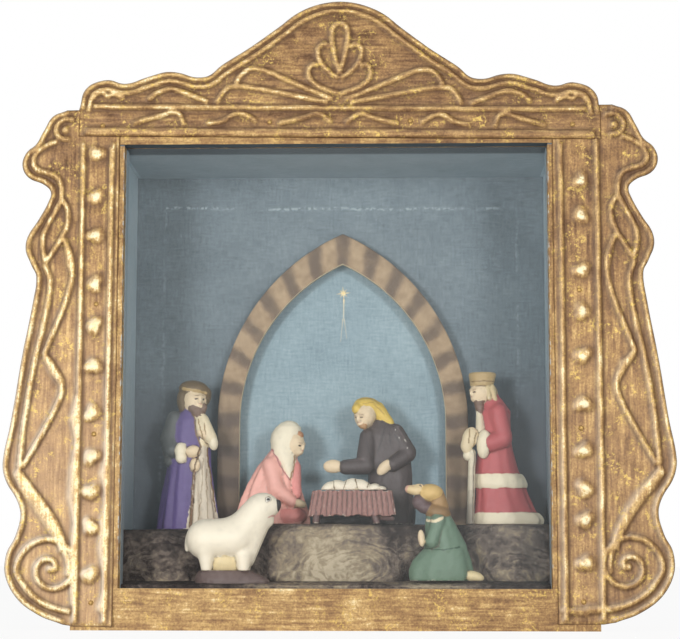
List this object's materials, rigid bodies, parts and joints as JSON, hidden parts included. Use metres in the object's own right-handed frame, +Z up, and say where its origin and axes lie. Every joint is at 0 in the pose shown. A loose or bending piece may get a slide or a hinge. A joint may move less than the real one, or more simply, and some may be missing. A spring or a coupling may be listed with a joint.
{
  "type": "retablo box",
  "caption": "Glazed wooden shrine box with a scrolled, embossed gold metal front, holding painted nativity figures on a rock ledge under a pointed arch.",
  "frame": {"origin": "centre of the case's underside, halfway between the boards' front edges and the back face", "axes": "+X to the viewer's right, +Y from the glazed front to the back, +Z up"},
  "size_m": [0.3587, 0.0992, 0.3409],
  "materials": {
    "painted_board": "worn gold-brown paint outside, blue-grey paint inside",
    "blue_panel": "matt blue-grey paint inside, bare board behind",
    "gilded_bead": "worn gold-brown paint",
    "painted_bead": "matt blue-grey paint",
    "pane": "clear, slightly dusty",
    "embossed_sheet": "hammered, worn gold paint",
    "fastener": "dull, aged",
    "arch_board": "matt tan paint with dark stripes",
    "rock": "matt, dry-brushed",
    "purple_clay": "matt paint on clay",
    "pink_clay": "matt paint on clay",
    "dark_clay": "matt paint on clay",
    "red_clay": "matt paint on clay",
    "green_clay": "matt paint on clay",
    "manger_wood": "matt stain",
    "cream_clay": "matt paint on clay",
    "base_clay": "matt paint on clay"
  },
  "bodies": {
    "root": {"case_left_side": "painted_board", "case_right_side": "painted_board", "case_top_board": "painted_board", "case_bottom_board": "painted_board", "back_panel": "blue_panel", "left_front_bead": "gilded_bead", "right_front_bead": "gilded_bead", "left_rear_bead": "painted_bead", "right_rear_bead": "painted_bead", "glass_pane": "pane", "left_wing": "embossed_sheet", "right_wing": "embossed_sheet", "pediment": "embossed_sheet", "case_nails": "fastener", "back_panel_nails": "fastener", "left_wing_tacks": "fastener", "right_wing_tacks": "fastener", "pediment_tacks": "fastener", "gothic_arch": "arch_board", "rock_ledge": "rock", "rock_foreground": "rock", "purple_standing_figure": "purple_clay", "pink_kneeling_figure": "pink_clay", "dark_robed_figure": "dark_clay", "red_standing_figure": "red_clay", "green_kneeling_figure": "green_clay", "manger": "manger_wood", "swaddled_bundle": "cream_clay", "sheep": "cream_clay", "sheep_base": "base_clay"}
  },
  "joints": []
}
